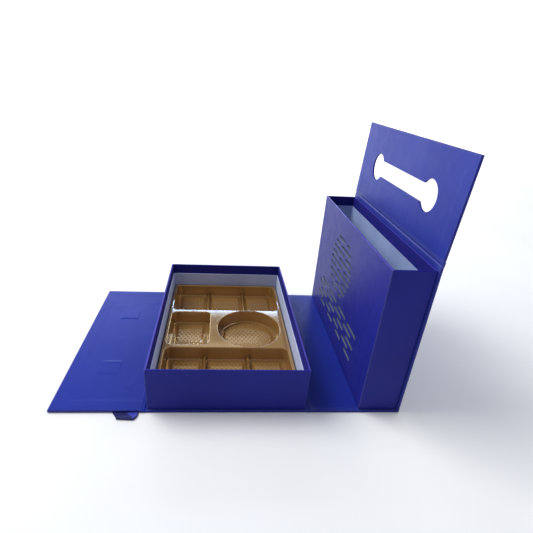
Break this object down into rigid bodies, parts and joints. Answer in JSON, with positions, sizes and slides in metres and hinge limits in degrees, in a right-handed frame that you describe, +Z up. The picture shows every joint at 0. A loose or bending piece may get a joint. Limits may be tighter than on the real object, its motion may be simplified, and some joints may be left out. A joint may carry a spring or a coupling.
{
  "type": "folding mooncake gift box",
  "caption": "Folding paper-wrapped gift case with an open tray box for mooncakes, an upright pierced gift box, hinged panels, a handle flap and a ribbon handle.",
  "frame": {"origin": "centre of the base panel's underside, under the cake box", "axes": "+X from the left flap towards the gift box, +Y from the front to the rear, +Z up"},
  "size_m": [0.47, 0.3275, 0.3417],
  "materials": {
    "blue_wrap": "satin laminated deep blue paper",
    "blue_liner": "satin laminated mid blue paper",
    "grey_board": "raw grey chipboard",
    "liner_card": "matt grey-white card",
    "tray_gold": "glossy vacuum-formed gold plastic",
    "ribbon": "woven satin ribbon",
    "magnet": "plated magnet disc"
  },
  "bodies": {
    "base": {"base_board": "grey_board", "base_wrap": "blue_wrap", "base_liner": "blue_liner", "cake_box_wrap": "blue_wrap", "cake_box_front_board": "grey_board", "cake_box_rear_board": "grey_board", "cake_box_left_board": "grey_board", "cake_box_right_board": "grey_board", "cake_box_floor_board": "grey_board", "cake_box_liner": "liner_card", "left_flap_hinge_paper": "blue_wrap", "spine_hinge_paper": "blue_wrap"},
    "left_flap": {"left_flap_board": "grey_board", "left_flap_wrap": "blue_wrap", "left_flap_liner": "blue_liner", "left_flap_magnet_near": "magnet", "left_flap_magnet_far": "magnet", "handle_strap": "ribbon"},
    "spine": {"spine_board": "grey_board", "spine_wrap": "blue_wrap", "spine_liner": "blue_liner", "back_hinge_paper": "blue_wrap"},
    "back": {"back_board": "grey_board", "back_wrap": "blue_wrap", "back_liner": "blue_liner", "gift_box_wrap": "blue_wrap", "gift_box_face_board": "grey_board", "gift_box_back_board": "grey_board", "gift_box_near_board": "grey_board", "gift_box_far_board": "grey_board", "gift_box_bottom_board": "grey_board", "gift_box_liner": "liner_card", "handle_flap_hinge_paper": "blue_wrap"},
    "handle_flap": {"handle_flap_board": "grey_board", "handle_flap_wrap": "blue_wrap", "handle_flap_liner": "blue_liner", "handle_flap_magnet_near": "magnet", "handle_flap_magnet_far": "magnet"},
    "tray": {"mooncake_tray": "tray_gold"}
  },
  "joints": [
    {"name": "left_flap_hinge", "type": "hinge", "parent": "base", "child": "left_flap", "pos_m": [-0.11002, 0, 0.00112], "axis": [0, -1, 0], "range_deg": [-90, 0], "deforming": ["left_flap_hinge_paper"]},
    {"name": "spine_hinge", "type": "hinge", "parent": "base", "child": "spine", "pos_m": [0.10852, 0, 0.00013], "axis": [0, 1, 0], "range_deg": [-90, 0], "deforming": ["spine_hinge_paper"]},
    {"name": "back_hinge", "type": "hinge", "parent": "spine", "child": "back", "pos_m": [0.23387, 0, 0.00013], "axis": [0, 1, 0], "range_deg": [0, 90], "deforming": ["back_hinge_paper"]},
    {"name": "handle_flap_hinge", "type": "hinge", "parent": "back", "child": "handle_flap", "pos_m": [0.23387, 0, 0.22323], "axis": [0, 1, 0], "range_deg": [-92.5, 0], "deforming": ["handle_flap_hinge_paper"]},
    {"name": "tray_lift", "type": "slide", "parent": "base", "child": "tray", "axis": [0, 0, 1], "range_m": [0, 0.075]}
  ]
}
